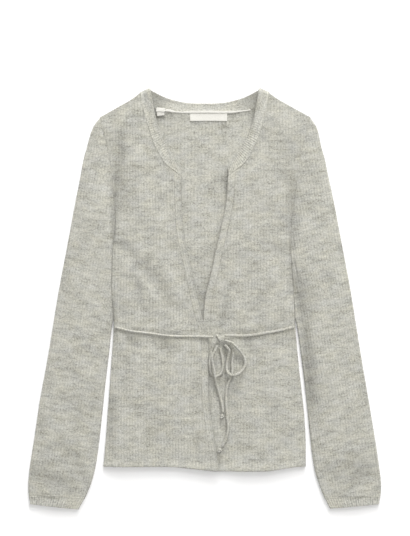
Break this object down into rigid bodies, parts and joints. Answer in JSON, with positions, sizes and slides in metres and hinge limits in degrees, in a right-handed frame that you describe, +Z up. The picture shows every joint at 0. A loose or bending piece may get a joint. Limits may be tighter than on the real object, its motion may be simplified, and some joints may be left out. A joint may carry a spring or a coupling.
{
  "type": "wrap cardigan",
  "caption": "Fine rib knit wrap cardigan with long sleeves, ribbed neckband and cuffs, and a thin waist tie in a bow, laid out flat.",
  "frame": {"origin": "on the floor under the middle of the laid-out garment", "axes": "+Y from the hem to the neck, +Z up off the floor, the wearer's right at -X"},
  "size_m": [0.5454, 0.6535, 0.0187],
  "materials": {
    "melange_knit": "soft brushed wool knit, light heather grey and ecru with faint cross streaks",
    "rib_knit": "the same yarn in a firmer 1x1 rib",
    "white_weave": "plain woven off-white tape",
    "tie_yarn": "thin soft knitted cord"
  },
  "bodies": {
    "root": {"back_panel": "melange_knit", "front_right": "melange_knit", "front_band_right": "rib_knit", "sleeve_right": "melange_knit", "cuff_right": "rib_knit", "front_left": "melange_knit", "front_band_left": "rib_knit", "sleeve_left": "melange_knit", "cuff_left": "rib_knit", "neckband": "rib_knit", "neck_tape": "white_weave", "neck_label": "white_weave", "care_label": "white_weave", "tie_waist_right": "tie_yarn", "tie_waist_left": "tie_yarn", "tie_loop_left": "tie_yarn", "tie_tail_left": "tie_yarn", "tie_loop_right": "tie_yarn", "tie_tail_right": "tie_yarn", "tie_knot": "tie_yarn", "tie_knot_wrap": "tie_yarn", "tie_end_left": "tie_yarn", "tie_end_right": "tie_yarn"}
  },
  "joints": []
}
